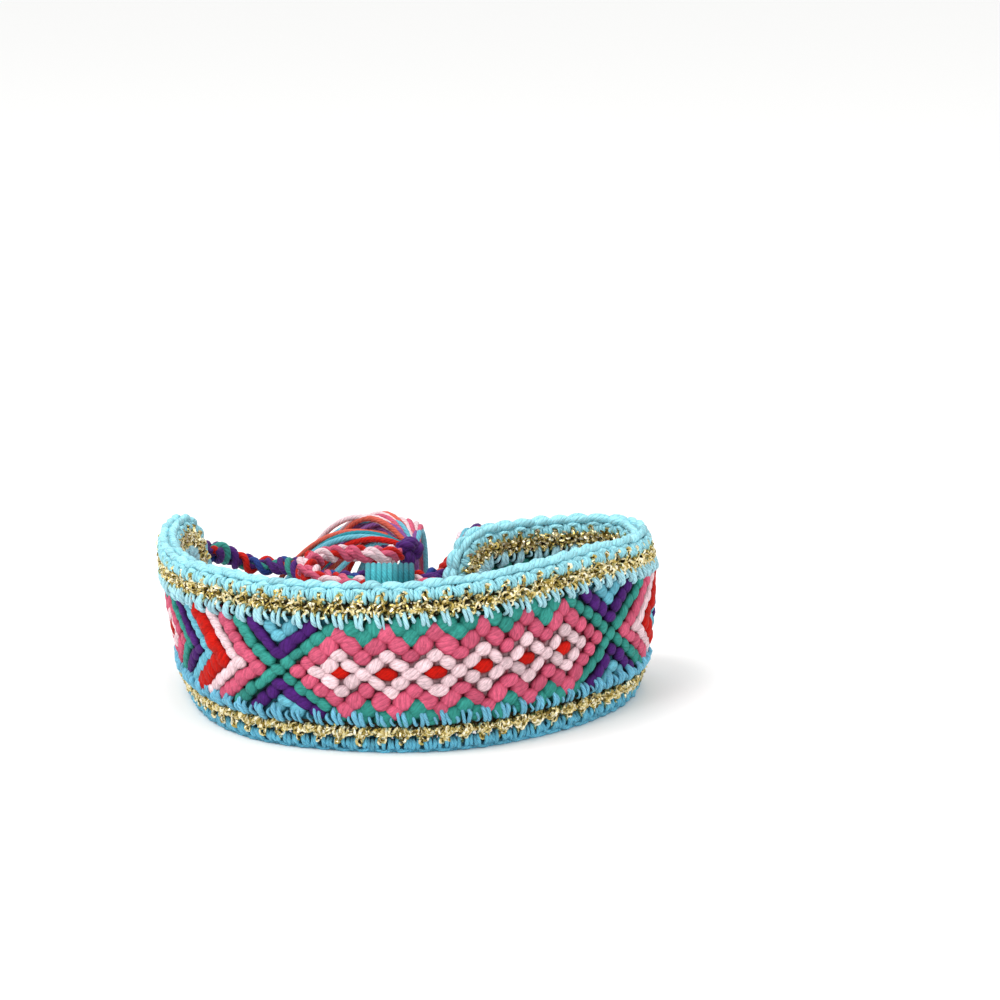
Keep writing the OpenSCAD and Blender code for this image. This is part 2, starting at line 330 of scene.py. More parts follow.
def cotton(name, ply_turn, plies, valley, ridge, fibre, roughness, gloss, sheen):
    """Twisted cotton: ply_turn is the length of one turn in mm, valley the tone
    between plies, ridge and fibre how far the plies and fibres stand out, in mm,
    and gloss the specular level."""
    material, tree = new_material(name)
    dye = add(tree, "ShaderNodeAttribute", attribute_name="dye")
    lay = add(tree, "ShaderNodeAttribute", attribute_name="lay")
    # the plies wind round the strand as a helix
    axes = add(tree, "ShaderNodeSeparateXYZ", {0: lay.outputs["Vector"]})
    turns = add(tree, "ShaderNodeMath", {0: axes.outputs["X"], 1: ply_turn}, operation="DIVIDE")
    helix = add(tree, "ShaderNodeMath", {0: axes.outputs["Y"], 1: turns.outputs[0]}, operation="ADD")
    phase = add(tree, "ShaderNodeMath", {0: helix.outputs[0], 1: plies * math.pi}, operation="MULTIPLY")
    wave = add(tree, "ShaderNodeMath", {0: phase.outputs[0]}, operation="SINE")
    ply = add(tree, "ShaderNodeMath", {0: wave.outputs[0]}, operation="ABSOLUTE")
    # the fibres follow the plies, and every strand has its own
    shifted = add(tree, "ShaderNodeMath", {0: axes.outputs["Z"], 1: STRAND_STEP}, operation="MULTIPLY")
    streaks = add(tree, "ShaderNodeCombineXYZ", {
        "X": axes.outputs["X"], "Y": helix.outputs[0], "Z": shifted.outputs[0]})
    stretched = add(tree, "ShaderNodeVectorMath", {0: streaks.outputs[0], 1: FIBRE_STRETCH},
                    operation="MULTIPLY")
    fibres = add(tree, "ShaderNodeTexNoise", {
        "Vector": stretched.outputs[0], "Scale": 1.6, "Detail": 4.0, "Roughness": 0.65})
    # dark between the plies, mottled by the fibres, unequal from strand to strand
    shade = add(tree, "ShaderNodeMapRange", {
        "Value": ply.outputs[0], "From Min": 0.0, "From Max": 0.55, "To Min": valley, "To Max": 1.0})
    mottle = add(tree, "ShaderNodeMapRange", {
        "Value": fibres.outputs["Fac"], "From Min": 0.3, "From Max": 0.7, "To Min": 0.66, "To Max": 1.3})
    strand = add(tree, "ShaderNodeMapRange", {
        "Value": axes.outputs["Z"], "From Min": 0.0, "From Max": 1.0, "To Min": 0.9, "To Max": 1.08})
    tone = add(tree, "ShaderNodeMath", {0: shade.outputs[0], 1: mottle.outputs[0]}, operation="MULTIPLY")
    tone = add(tree, "ShaderNodeMath", {0: tone.outputs[0], 1: strand.outputs[0]}, operation="MULTIPLY")
    dyed = add(tree, "ShaderNodeVectorMath", {0: dye.outputs["Vector"], 3: tone.outputs[0]},
               operation="SCALE")
    # plies and fibres stand out a little
    ply_bump = add(tree, "ShaderNodeBump", {
        "Height": ply.outputs[0], "Distance": ridge * MM, "Strength": 1.0})
    bump = add(tree, "ShaderNodeBump", {
        "Height": fibres.outputs["Fac"], "Distance": fibre * MM, "Strength": 0.9,
        "Normal": ply_bump.outputs[0]})
    shader = add(tree, "ShaderNodeBsdfPrincipled", {
        "Base Color": dyed.outputs[0], "Roughness": roughness, "IOR": 1.5,
        "Specular IOR Level": gloss, "Sheen Weight": sheen, "Sheen Roughness": 0.4,
        "Normal": bump.outputs[0]})
    add(tree, "ShaderNodeOutputMaterial", {"Surface": shader.outputs["BSDF"]})
    return material


# pulled tight in a knot, floss spreads: the plies are faint and it looks matt
knot_cotton = cotton("knotted_cotton_floss", ply_turn=6.0, plies=7, valley=0.82, ridge=0.03,
                     fibre=0.04, roughness=0.8, gloss=0.15, sheen=0.04)
# crochet yarn is twisted harder and keeps its silky shine
crochet_cotton = cotton("crocheted_mercerised_cotton", ply_turn=3.2, plies=4, valley=0.72, ridge=0.05,
                        fibre=0.03, roughness=0.5, gloss=0.4, sheen=0.12)
# in the ties the floss lies loose, so its plies stand apart
plait_cotton = cotton("plaited_cotton_floss", ply_turn=4.0, plies=5, valley=0.68, ridge=0.05,
                      fibre=0.04, roughness=0.75, gloss=0.25, sheen=0.08)
print("cottons:", [cotton_yarn.name for cotton_yarn in (knot_cotton, crochet_cotton, plait_cotton)])


# %% [markdown]
# The shiny round is lurex: a flat strip of metallised film, spun round a thread
# and crocheted, so it crumples and every crumple catches the light its own way.
# It is a metal with the default IOR. Small cells along the strip tilt the
# surface at random, which is what makes it glitter, and each cell's gold is
# painted from near black to near white, as painted reflections. Real crumples
# are 0.1 mm wide, and they are drawn 0.5 mm wide to show.

# %% Lurex
# length of one crumple in mm, crumples round the strip, and the strands' steps apart
CRUMPLE = 0.5
CRUMPLES_ROUND = 3.0
FILM_STEP = 91.0
CRUMPLE_DEPTH = 0.12
# gold with painted reflections: from near black, as if a crumple mirrored something dark, to near white, as
# if it caught a lamp
FILM_GOLD_AND_GLINTS = ((0.0, "#62531F"), (0.24, "#C6B060"), (0.6, "#F2E3AC"), (1.0, "#FFFBE6"))


def lurex(name):
    """Metallised film whose gold changes from one crumple to the next, as painted reflections."""
    material, tree = new_material(name)
    lay = add(tree, "ShaderNodeAttribute", attribute_name="lay")
    stretched = add(tree, "ShaderNodeVectorMath", {
        0: lay.outputs["Vector"], 1: (1 / CRUMPLE, CRUMPLES_ROUND, FILM_STEP)}, operation="MULTIPLY")
    cells = add(tree, "ShaderNodeTexVoronoi", {"Vector": stretched.outputs[0], "Scale": 1.0})
    pick = add(tree, "ShaderNodeSeparateColor", {0: cells.outputs["Color"]})
    gold = add(tree, "ShaderNodeValToRGB", {"Fac": pick.outputs[0]})
    ramp = gold.color_ramp
    ramp.elements[0].color = (*linear(FILM_GOLD_AND_GLINTS[0][1]), 1)
    ramp.elements[1].color = (*linear(FILM_GOLD_AND_GLINTS[-1][1]), 1)
    for position, code in FILM_GOLD_AND_GLINTS[1:-1]:
        ramp.elements.new(position).color = (*linear(code), 1)
    bump = add(tree, "ShaderNodeBump", {
        "Height": cells.outputs["Distance"], "Distance": CRUMPLE_DEPTH * MM, "Strength": 1.0})
    shader = add(tree, "ShaderNodeBsdfPrincipled", {
        "Base Color": gold.outputs["Color"], "Metallic": 1.0, "Roughness": 0.34,
        "Normal": bump.outputs[0]})
    add(tree, "ShaderNodeOutputMaterial", {"Surface": shader.outputs["BSDF"]})
    return material


metallic_yarn = lurex("crumpled_gold_lurex")
print("metallic yarn:", metallic_yarn.name)


# %% [markdown]
# The band is one bent strip. A short list of stations gives the line that it
# follows on the table, its lean and how far it bulges, and one function turns a
# place on the flat strip into a place in space: u runs along it, v up across it
# and w out of its face. Everything on the band is laid out flat and then bent by
# that function, so no knot or stitch has to be placed by hand.

# %% The band's measures
# all in mm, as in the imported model
BAND_W = 25.0
BORDER_W = 2.6
GOLD_W = 2.6
SEAM = 0.15
CORNER_R = 8.0
# how far the round lower edge is pressed into the table
PRESS = 0.25
# middle of the ring, which the model puts at the origin
RING_MID = np.array([3.9, 28.3, 0.0])
# x, y, lean in degrees, bulge, extra width
STATIONS = [
    (-28.6, 56.0, 12, 0.8, 0.4), (-31.4, 47.0, 11, 0.9, 0.4), (-31.8, 37.6, 10, 1.0, 0.2),
    (-30.2, 28.5, 10, 1.3, 0.0), (-27.1, 19.9, 7, 1.6, 0.0), (-22.8, 12.9, 3, 2.2, 0.2),
    (-16.4, 6.7, 1, 2.6, 0.4), (-6.8, 2.8, 1, 2.6, 0.6), (4.8, 1.4, 2, 2.4, 1.0),
    (15.8, 4.3, 2, 2.0, 1.5), (25.9, 12.0, 0, 1.6, 1.8), (33.7, 21.1, -1, 1.6, 1.9),
    (39.3, 30.3, 2, 2.2, 1.1), (41.0, 40.8, 5, 2.4, 0.7), (36.1, 48.6, 7, 1.6, 0.5),
    (27.1, 47.2, 8, 1.0, 0.4), (18.3, 42.2, 8, 0.8, 0.3), (10.7, 35.0, 8, 0.8, 0.3),
]
SPAN_STEPS = 24
# how far the list is carried on straight past both ends
REACH = 4.0

plan = smooth_rows(STATIONS, SPAN_STEPS)
along = np.concatenate([[0], np.cumsum(np.linalg.norm(np.diff(plan[:, :2], axis=0), axis=1))])
band_l = along[-1]
first = plan[0] + (plan[0] - plan[1]) * REACH / (along[1] - along[0]) * [1, 1, 0, 0, 0]
last = plan[-1] + (plan[-1] - plan[-2]) * REACH / (along[-1] - along[-2]) * [1, 1, 0, 0, 0]
plan = np.vstack([first, plan, last])
along = np.concatenate([[-REACH], along, [band_l + REACH]])
print("band length, mm:", round(band_l, 1))


# %% The band's bent surface
def plan_at(u, column):
    """A column of the stations at places u along the band."""
    return np.interp(u, along, plan[:, column])


def width_at(u):
    """The band's full width at u."""
    return BAND_W + plan_at(u, 4)


def on_band(u, v, w):
    """Places on the bent band, in mm, for arrays of the same shape."""
    ahead = unit(np.stack([plan_at(u + 1, c) - plan_at(u - 1, c) for c in (0, 1)], -1))
    lean = np.radians(plan_at(u, 2))
    # curvature of an arc as wide as the band that bulges as far as the stations say
    bend = 8 * plan_at(u, 3) / width_at(u) ** 2
    turn = lean - bend * v
    foot = lean + bend * (width_at(u) - BORDER_W) / 2
    side = (np.cos(turn) - np.cos(lean)) / bend + w * np.cos(turn)
    z = (np.sin(foot) - np.sin(turn)) / bend - w * np.sin(turn) + BORDER_W / 2 - PRESS
    x = plan_at(u, 0) - RING_MID[0] + ahead[..., 1] * side
    y = plan_at(u, 1) - RING_MID[1] - ahead[..., 0] * side
    return np.stack([x, y, np.maximum(z, 0)], -1)


ends = on_band(np.array([0, band_l]), np.zeros(2), np.zeros(2))
print("middles of the band's ends, mm:", np.round(ends, 1).tolist())


# %% [markdown]
# The two ties come next. Each is a plait of three strands, and each strand is
# two yarns of floss laid together. A plait is three equal waves side by side,
# a third of a turn apart: across it they swing once, while they rise and dip
# twice, and that makes every strand pass over one neighbour and under the
# other. The routes are the model's own. Where a tie leaves the band its yarns
# are gathered, so it is thicker there.

# %% Routes of the ties
TIE_D = 3.2
TIE_PITCH = 3.5
SLIDER_AT = np.array([1.4, 34.9, 17.4])
left_run = SLIDER_AT[1] + TIE_PITCH / 2
right_run = SLIDER_AT[1] - TIE_PITCH / 2
LEFT_ROUTE = [
    (-28.4, 56.4, 17.0), (-27.4, 59.2, 16.6), (-25.4, 61.8, 15.0), (-22.6, 63.2, 13.6),
    (-19.4, 63.0, 13.4), (-16.8, 61.2, 13.9), (-15.0, 58.4, 14.4), (-13.6, 55.0, 14.5),
    (-12.2, 51.2, 14.5), (-10.8, 47.4, 14.9), (-9.7, 43.4, 15.8), (-8.8, 40.0, 16.8),
    (-6.5, 37.6, 17.2), (-3.2, left_run, 17.4), (1.4, left_run, 17.4),
    (5.8, left_run, 17.4), (7.8, 37.6, 17.5), (9.2, 39.4, 17.6),
]
RIGHT_ROUTE = [
    (10.2, 34.5, 16.0), (8.2, 33.5, 16.7), (5.8, right_run, 17.3), (1.4, right_run, 17.4),
    (-3.0, right_run, 17.4), (-6.0, 33.4, 17.6), (-8.8, 34.6, 18.0), (-11.0, 37.0, 18.4),
    (-11.8, 40.2, 18.8), (-10.9, 43.4, 19.2), (-8.6, 45.8, 19.4), (-5.4, 46.9, 19.3),
    (-2.2, 47.0, 19.0), (0.4, 48.0, 18.8), (2.0, 49.9, 18.6),
]


def route_line(route, step=0.25):
    """Evenly spaced points on the smooth curve through a route, and how far along each is."""
    line = smooth_rows(np.array(route) - RING_MID, 12)
    reach = np.concatenate([[0], np.cumsum(np.linalg.norm(np.diff(line, axis=0), axis=1))])
    even = np.linspace(0, reach[-1], int(reach[-1] / step))
    return np.stack([np.interp(even, reach, line[:, c]) for c in range(3)], -1), even


def frames(line):
    """The level and the upward direction across a line at each of its points."""
    ahead = unit(np.gradient(line, axis=0))
    level = unit(np.cross((0, 0, 1), ahead))
    return level, np.cross(ahead, level)


print("points on the left route:", len(LEFT_ROUTE), "on the right one:", len(RIGHT_ROUTE))


# %% Plaited ties
# length of one full turn of the plait, how far its strands swing aside and rise
PLAIT_TURN = 8.6
PLAIT_SWING = 0.95
PLAIT_RISE = 0.6
# the two yarns of a strand: thickness, length of one turn, distance from its middle
YARN_R = 0.52
PAIR_TURN = 6.0
PAIR_APART = 0.42
# how much thicker a tie is where it leaves the band, and over how many mm
THICK_START = 0.3
START_L = 7


def bundle(line, reach, offsets, dyes, swell):
    """Two yarns that wind round each other, along a line with offsets (level, up)."""
    level, rise = frames(line)
    centre = line + offsets[0][:, None] * level + offsets[1][:, None] * rise
    apart = PAIR_APART * swell[:, None]
    batches = []
    for yarn, dye in enumerate(dyes):
        spin = 2 * np.pi * reach / PAIR_TURN + yarn * np.pi
        path = centre + apart * (np.cos(spin)[:, None] * level + np.sin(spin)[:, None] * rise)
        batches.append(tubes(path[None], YARN_R * swell[None], 8, DYES[dye][None]))
    return batches


def plait(name, route, strands, node, slot):
    """One tie as a plait of three strands, its middle line and its length."""
    line, reach = route_line(route)
    swell = 1 + THICK_START * np.exp(-(reach / START_L) ** 2)
    batches = []
    for strand, dyes in enumerate(strands):
        phase = 2 * np.pi * (reach / PLAIT_TURN + strand / 3)
        offsets = (PLAIT_SWING * swell * np.sin(phase), PLAIT_RISE * swell * np.sin(2 * phase))
        batches += bundle(line, reach, offsets, dyes, swell)
    made = piece(name, batches, plait_cotton, slot, node)
    print(name, "length, mm:", round(reach[-1], 1))
    return made, line, reach[-1]


left_plait, left_line, left_length = plait(
    "left_plait", LEFT_ROUTE, [("purple", "purple"), ("teal", "ink"), ("red", "purple")],
    "left_tie", "left_tie_cotton")
right_plait, right_line, right_length = plait(
    "right_plait", RIGHT_ROUTE, [("blush", "blush"), ("pink", "pink"), ("red", "pink")],
    "right_tie", "right_tie_cotton")


# %% [markdown]
# At the end of each tie is an overhand knot. Its path is a trefoil, which is
# what an overhand knot becomes when its ends are pulled out of sight. Three
# yarns follow it, twisted round each other.

# %% Knots at the ends of the ties
END_KNOT_D = 5.2
# size of the trefoil's lobes, and how far its strands pass over each other
KNOT_LOBE = 0.58
KNOT_DEPTH = 0.8
# the yarns in it: thickness, distance from their middle, turns on the whole path
KNOT_YARN_R = 0.62
KNOT_APART = 0.46
KNOT_TWIST = 4
KNOT_RINGS = 90


def beyond(line, reach):
    """A place straight on from the end of a line."""
    return line[-1] + unit(line[-1] - line[-2]) * reach


def end_knot(name, line, dyes, node, slot):
    """An overhand knot just beyond the end of a tie's line."""
    middle = beyond(line, END_KNOT_D / 2 + SEAM)
    level, rise = (axis[-1] for axis in frames(line))
    ahead = np.cross(level, rise)
    t = np.linspace(0, 2 * np.pi, KNOT_RINGS, endpoint=False)
    across = KNOT_LOBE * (np.sin(t) + 2 * np.sin(2 * t))
    up = KNOT_LOBE * (np.cos(t) - 2 * np.cos(2 * t))
    path = (middle + across[:, None] * ahead + up[:, None] * rise
            - KNOT_DEPTH * np.sin(3 * t)[:, None] * level)
    tangent = unit(np.roll(path, -1, 0) - np.roll(path, 1, 0))
    side = unit(np.cross(path - middle, tangent))
    out = np.cross(tangent, side)
    batches = []
    for yarn, dye in enumerate(dyes):
        spin = KNOT_TWIST * t + 2 * np.pi * yarn / len(dyes)
        offset = KNOT_APART * (np.cos(spin)[:, None] * side + np.sin(spin)[:, None] * out)
        batches.append(tubes((path + offset)[None], KNOT_YARN_R, 8, DYES[dye][None], closed=True))
    return piece(name, batches, plait_cotton, slot, node)


left_knot = end_knot("left_overhand_knot", left_line, ("red", "red", "salmon"),
                     "left_end_knot", "left_knot_yarn")
right_knot = end_knot("right_overhand_knot", right_line, ("purple", "purple", "purple"),
                      "right_end_knot", "right_knot_yarn")


# %% [markdown]
# Beyond its knot the floss is left loose. The locks of the plain model give the
# tassel its outer form: each springs up out of the head, arches over and comes
# down to the table. Every lock here is a handful of yarns side by side round its
# curve. They part a little towards their tips, each in a colour of the band.

# %% Tassels
HEAD_D = 3.4
# direction in degrees, reach and rise in mm of each lock
LEFT_LOCKS = [(88, 14, 8), (80, 16, 5), (72, 13, 9), (64, 16, 4), (57, 14, 7), (50, 17, 4)]
RIGHT_LOCKS = [(174, 29, 4), (165, 33, 5), (156, 28, 8), (147, 31, 6), (138, 25, 8),
               (129, 24, 5), (119, 19, 7), (108, 17, 4), (98, 14, 6)]
YARNS_PER_LOCK = 5
LOOSE_R = 0.5
LOOSE_RINGS = 26
# how unevenly the yarns sit round their lock, as a share of a yarn's place
SEAT_SPREAD = 0.4
# how far each yarn of a lock lies from the lock's middle
SPACING = 0.95
# where on its reach a yarn's arch is highest, and how much later for the upper ones
ARCH_AT = 0.4
ARCH_LATER = 0.3
# a curve stays below its handle, so the handle stands this much higher than the arch
ARCH_HANDLE = 1.95
# how much the yarns differ: their ends in mm, their reach as a share, their waves in mm
STRAY = 0.25
REACH_STRAY = 0.04
WAVE = 0.25


def bezier(a, b, c, d, t):
    """Points on a curve from a to d with the handles b and c."""
    return a * (1 - t) ** 3 + 3 * b * t * (1 - t) ** 2 + 3 * c * t * t * (1 - t) + d * t ** 3


def curl(t, size):
    """A slow sideways wave that grows from nothing, different for each yarn."""
    phase = 2 * np.pi * chance.random(3)
    return size * np.minimum(1, 3 * t) * np.sin(t * (5, 6, 7) + phase)


def tassel(name, line, locks, colours, node, slot):
    """The loose yarns beyond a tie's end knot, a handful to each lock."""
    knot_side = beyond(line, END_KNOT_D * 0.8)
    head = beyond(line, END_KNOT_D + HEAD_D / 2 + 3 * SEAM)
    t = np.linspace(0, 1, LOOSE_RINGS)[:, None]
    batches, lengths = [], []
    for azimuth, reach, rise in locks:
        turn = math.radians(azimuth)
        onward = np.array([math.cos(turn), math.sin(turn), 0])
        sideways = np.array([-math.sin(turn), math.cos(turn), 0])
        for yarn in range(YARNS_PER_LOCK):
            seat = 2 * np.pi * (yarn + SEAT_SPREAD * chance.random()) / YARNS_PER_LOCK
            aside, above = SPACING * math.cos(seat) * sideways, SPACING * math.sin(seat)
            stray = STRAY * chance.normal(size=(2, 3))
            way = onward * reach * (1 + REACH_STRAY * chance.normal())
            foot = np.array([head[0], head[1], LOOSE_R]) + above * onward
            arch = head + way * (ARCH_AT + ARCH_LATER * (0.5 + 0.5 * math.sin(seat)))
            # the yarns leave the knot close together and end a little apart
            path = bezier(knot_side + 0.5 * aside, arch + (0, 0, rise * ARCH_HANDLE + above) + aside,
                          foot + way * 0.8 + aside + stray[0], foot + way + 1.4 * aside + stray[1], t)
            path = path + curl(t, WAVE)
            path[:, 2] = np.maximum(path[:, 2], LOOSE_R * 0.8)
            width = LOOSE_R * (0.85 + 0.15 * np.cos(t[:, 0] * 3))
            dye = DYES[colours[chance.integers(len(colours))]]
            batches.append(tubes(path[None], width, 7, dye[None]))
            lengths.append(np.linalg.norm(np.diff(path, axis=0), axis=1).sum())
    print(name, "length, mm:", round(min(lengths), 1), "to", round(max(lengths), 1))
    return piece(name, batches, plait_cotton, slot, node)


left_tassel = tassel("left_loose_yarns", left_line, LEFT_LOCKS,
                     ("purple", "ink", "blush", "red", "sky", "pink"), "left_tassel", "left_tassel_yarn")
right_tassel = tassel("right_loose_yarns", right_line, RIGHT_LOCKS,
                      ("blush", "salmon", "lilac", "red", "sky", "pink", "blush", "sea"),
                      "right_tassel", "right_tassel_yarn")


# %% [markdown]
# The ties hang free, and the knot and the tassel move with each one's far end.
# Here each tie's length is printed.

# %% Lengths of the ties
for made, line, length, extras in (
        (left_plait, left_line, left_length, [left_knot, left_tassel]),
        (right_plait, right_line, right_length, [right_knot, right_tassel])):
    print(made.name, "is a cord", round(length, 1), "mm long")


# %% [markdown]
# The sliding knot is one yarn wound round both ties. Its path is a helix whose
# turns are not circles but two half circles joined by straight runs, because
# two round ties lie side by side inside. The yarn is finer than the gap between
# the plain model's turns, so ten turns take the place of its six. Its last laps
# are drawn darker.

# %% Outline round the two ties
def stadium(turn, radius):
    """Place (across, up) on the outline round two ties, turn counted in laps."""
    arc = math.pi * radius
    lap = 2 * arc + 2 * TIE_PITCH
    d = (turn % 1) * lap
    right = d < arc
    left = (d >= arc + TIE_PITCH) & (d < 2 * arc + TIE_PITCH)
    top = (d >= arc) & ~left & (d < arc + TIE_PITCH)
    angle = np.where(right, d / radius - np.pi / 2, (d - arc - TIE_PITCH) / radius + np.pi / 2)
    run = np.where(top, TIE_PITCH / 2 - (d - arc), (d - 2 * arc - TIE_PITCH) - TIE_PITCH / 2)
    across = np.where(right, TIE_PITCH / 2 + radius * np.cos(angle),
                      np.where(left, -TIE_PITCH / 2 + radius * np.cos(angle), run))
    up = np.where(right | left, radius * np.sin(angle), np.where(top, radius, -radius))
    return across, up


print("highest place on an outline 2 mm round the ties:", round(float(stadium(np.array(0.5), 2.0)[1]), 1))


# %% Sliding knot
SLIDER_L = 8.4
WRAP_TURNS = 10
WRAP_POINTS = 28
# room between the ties and the yarn, and how much the turns press into each other
WRAP_ROOM = 0.3
WRAP_PRESS = 1.06
# how much the laps differ in tone, the lap from which they are darker, and how dark
LAP_SPREAD = 0.16
DARK_FROM = 6
DARK_LAP = 0.6
wrap_r = SLIDER_L / WRAP_TURNS / 2
inner_r = TIE_D / 2 + WRAP_ROOM

turns = np.linspace(0, WRAP_TURNS - 1, (WRAP_TURNS - 1) * WRAP_POINTS + 1)
across, up = stadium(turns, inner_r + wrap_r)
wound = (SLIDER_AT - RING_MID) + np.stack([
    -SLIDER_L / 2 + wrap_r + turns * 2 * wrap_r, across, up], -1)
lap_tone = 1 + LAP_SPREAD * chance.normal(size=WRAP_TURNS + 1)
laps = np.arange(WRAP_TURNS + 1)
lap_dye = np.where(laps[:, None] < DARK_FROM, DYES["turquoise"], DARK_LAP * DYES["sea"])
lap_dye = lap_dye * lap_tone[:, None]
wound_dye = np.stack([np.interp(turns, laps, lap_dye[:, c]) for c in range(3)], -1)
wound_yarn = tubes(wound[None], wrap_r * WRAP_PRESS, 10, wound_dye[None])
piece("wound_sliding_knot", [wound_yarn], plait_cotton, "slider_cotton", "sliding_knot")


# %% [markdown]
# The panel is tied by hand from some twenty strands, row by row. Each knot is a
# double half hitch, a plump bean of yarn that leans the way its row runs, and
# every second place of a fine lattice holds one. The pattern is charted as a
# maker would chart it: one rule gives each lattice place its colour. It is
# mirrored about the middle of the band: small diamonds in the centre, a cross
# at each end of them, then chevrons, and a shorter field of diamonds at each
# end.

# %% Chart of the panel
# places from the middle to the cross, to the end field and to that field's middle
CROSS_AT = 16
FIELD_AT = 30
FIELD_MID = 44
# rows from the middle to each edge
LAST_ROW = 5
CHEVRONS = ("pink", "blush", "red", "sky", "purple", "teal")


def diamond_colour(m, j):
    """Colour at place m and row j of a field of diamonds, counted from its middle."""
    if m % 4 == 2 and j == 0 and m <= 10:
        return "red"
    if (m % 4 == 0 and j == 0) or (m % 2 and j == 1) or (m % 4 == 2 and j == 2):
        return "blush" if m <= 12 else "pink"
    if (m % 4 == 2 and j == 4) or (m % 2 and j == 3) or (m % 4 == 0 and j == 2) or (m + j >= 14 and j < 5):
        return "pink"
    return "teal"


def knot_colour(i, j):
    """Colour of the knot at place i along and row j, counted from the middle."""
    m, j = abs(i), abs(j)
    if m - j >= FIELD_AT:
        return diamond_colour(abs(FIELD_MID - m), j)
    if m - j > CROSS_AT:
        return CHEVRONS[(m - j - CROSS_AT - 2) // 2 % len(CHEVRONS)]
    if m - j == CROSS_AT or m + j == CROSS_AT:
        return "teal"
    if m + j > CROSS_AT:
        depth = min(m + j - CROSS_AT, CROSS_AT - m + j)
        return "purple" if depth == 2 else "sky"
    return diamond_colour(m, j)


def knot_lean(i, j):
    """-1, 0 or 1: the way the knot's row runs, down, level or up to the right."""
    m = abs(i)
    side = int(np.sign(i) * np.sign(j))
    if m - abs(j) >= FIELD_AT:
        return 0 if m % 2 == 0 else side * (1 if (FIELD_MID - m) % 4 == 3 else -1)
    if m + abs(j) < CROSS_AT:
        return 0 if m % 2 == 0 else side * (1 if m % 4 == 1 else -1)
    return side * (1 if m > CROSS_AT else 0 if m == CROSS_AT else -1)


print("middle row:", " ".join(knot_colour(i, 0) for i in range(0, FIELD_MID, 2)))


# %% [markdown]
# The chart says which knot is where in the count, and the next step says where
# that is on the band. Hand-tied rows are never quite square, so they slide a
# little, and the tips of the diamonds push the outer rows outwards.

# %% Where each place of the chart lies
# middle of the pattern along the band and across it, in mm
PATTERN_MID = 84.1
PATTERN_LIFT = -0.1
# places from the middle, mm from the middle
SPREAD = np.array([(-48, -83.0), (-16, -26.4), (-10, -17.1), (0, 0.0), (10, 18.5), (16, 29.5), (48, 87.0)])
LAST_PLACE = 48
# rows that fit between the middle and the panel's edge
ROW_SHARE = 5.9
# mm that each row slides: the lower ones everywhere, the upper ones left of the cross
LOW_SHIFT = 0.22
LEFT_SHEAR = 0.42
# how far each row from the middle bulges, in rows
ROW_BULGE = (0, 0, 0.12, 0.42, 0.65, 0.55)
PANEL_INSET = BORDER_W + GOLD_W + 3 * SEAM
# room between the outermost knots and the panel's ends
END_ROOM = 0.4


def slip(i, j):
    """How far row j slides along the band at place i."""
    left = np.clip((-CROSS_AT - i) / 6, 0, 1)
    return LOW_SHIFT * np.maximum(0, -j) + LEFT_SHEAR * np.maximum(0, j) * left


def bulge(i, j):
    """How many rows further out row j lies in the field of diamonds, most at their tips."""
    inside = np.clip((CROSS_AT - np.abs(i) - np.abs(j)) / 3, 0, 1)
    tip = 0.75 - 0.25 * np.cos(np.pi * i / 2)
    return np.sign(j) * inside * tip * np.interp(np.abs(j), range(len(ROW_BULGE)), ROW_BULGE)


def half_height(u):
    """Half the height of the panel at u."""
    return width_at(u) / 2 - PANEL_INSET


def row_v(u, j):
    """Height on the band of row j, which fills the panel above and below the middle."""
    up = (half_height(u) - PATTERN_LIFT) / ROW_SHARE
    down = (half_height(u) + PATTERN_LIFT) / ROW_SHARE
    return PATTERN_LIFT + np.where(j > 0, up, down) * j


# u, v, lean, place and row of each knot
knots = []
inset = PANEL_INSET + END_ROOM
for i in range(-LAST_PLACE, LAST_PLACE + 1):
    for j in range(-LAST_ROW, LAST_ROW + 1):
        u = PATTERN_MID + float(np.interp(i, SPREAD[:, 0], SPREAD[:, 1])) + slip(i, j)
        if (i + j) % 2 == 0 and inset < u < band_l - inset:
            knots.append((u, float(row_v(u, j + bulge(i, j))), knot_lean(i, j), i, j))
print("knots on each face:", len(knots))


# %% [markdown]
# One bean is swept along a short arch that dives into the panel at both ends.
# It is made once, flat, and then laid at every place of the chart and bent with
# the band. An instancing modifier would keep each bean rigid, while this way
# the beans follow the band's bend. No two hand-tied knots are the same, so size,
# place, lean and dye vary a little at random. In the creases the colour is
# painted darker and stronger: painted shade, with the stronger colour of light
# that bounces from yarn to yarn there.

# %% How tightly each knot is pulled
# length, width and height of a knot of that colour, where it is pulled tighter
CENTRE_SIZE = {"blush": (0.95, 0.84, 0.95), "red": (1.1, 0.84, 0.7), "pink": (0.95, 0.94, 1.0)}
CHEVRON_SIZE = {"blush": (1.0, 0.84, 0.95), "red": (1.2, 1.3, 1.1), "pink": (1.05, 1.0, 1.0),
                "purple": (1.0, 0.86, 0.95), "sky": (0.95, 0.86, 0.9), "teal": (1.0, 0.84, 0.9)}
ARM_SIZE = (0.92, 0.82, 1.0)
# outer rows of the middle field are tied looser
OUTER_SIZE = (1.06, 1.18, 1.05)


def knot_size(i, j):
    """Length, width and height of the knot at place i and row j, as shares."""
    m, j = abs(i), abs(j)
    if CROSS_AT in (m - j, m + j):
        return ARM_SIZE
    if m < CROSS_AT and 3 <= j < CROSS_AT - m:
        return OUTER_SIZE
    return (CENTRE_SIZE if m < CROSS_AT else CHEVRON_SIZE).get(knot_colour(i, j), (1, 1, 1))


print("size of the middle knot:", knot_size(0, 0))


# %% Tying the knots
# thickness of the core that the knots sit on
CORE_T = 0.9
BEAN_RINGS = 9
BEAN_SIDES = 10
# degrees of an arch that a bean covers on each side of its top
BEAN_ARC = 82
# degrees that a leaning row's knots turn
LEAN = 32
